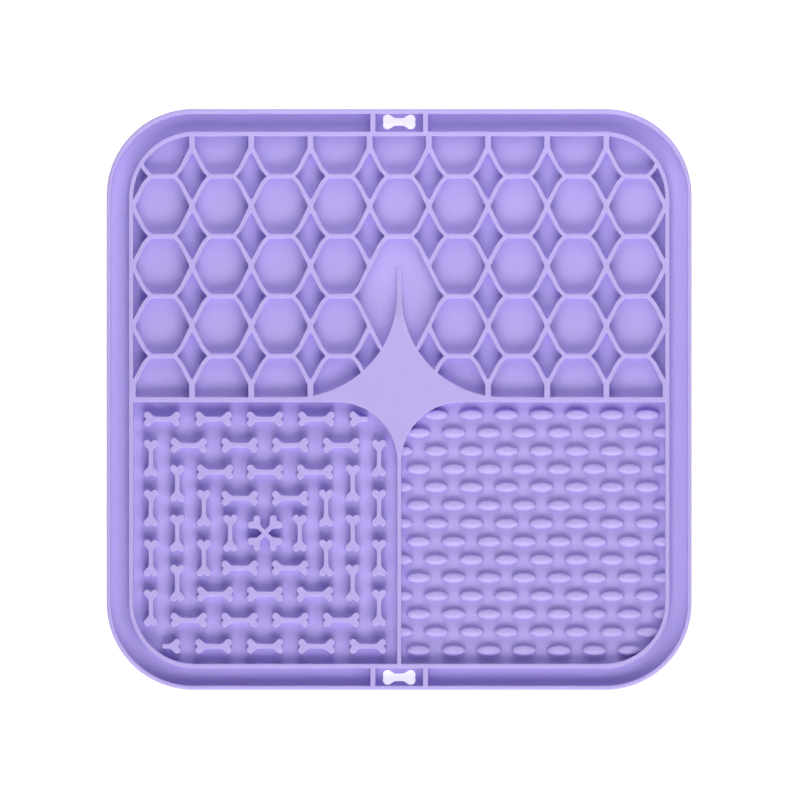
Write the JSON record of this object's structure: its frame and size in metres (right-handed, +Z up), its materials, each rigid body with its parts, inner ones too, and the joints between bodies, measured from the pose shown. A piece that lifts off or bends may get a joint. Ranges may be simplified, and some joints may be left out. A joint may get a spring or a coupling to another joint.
{
  "type": "lick mat",
  "caption": "Flat silicone lick mat for pets with honeycomb pockets, raised bones, oval bumps and a gutter inside its rim.",
  "frame": {"origin": "middle of the flat underside, which rests on the floor", "axes": "+Z up out of the pockets, +X to the right and +Y towards the honeycomb half"},
  "size_m": [0.2, 0.1988, 0.0075],
  "materials": {
    "silicone": "soft matte lavender silicone, dyed through"
  },
  "bodies": {
    "root": {"mat": "silicone"}
  },
  "joints": []
}
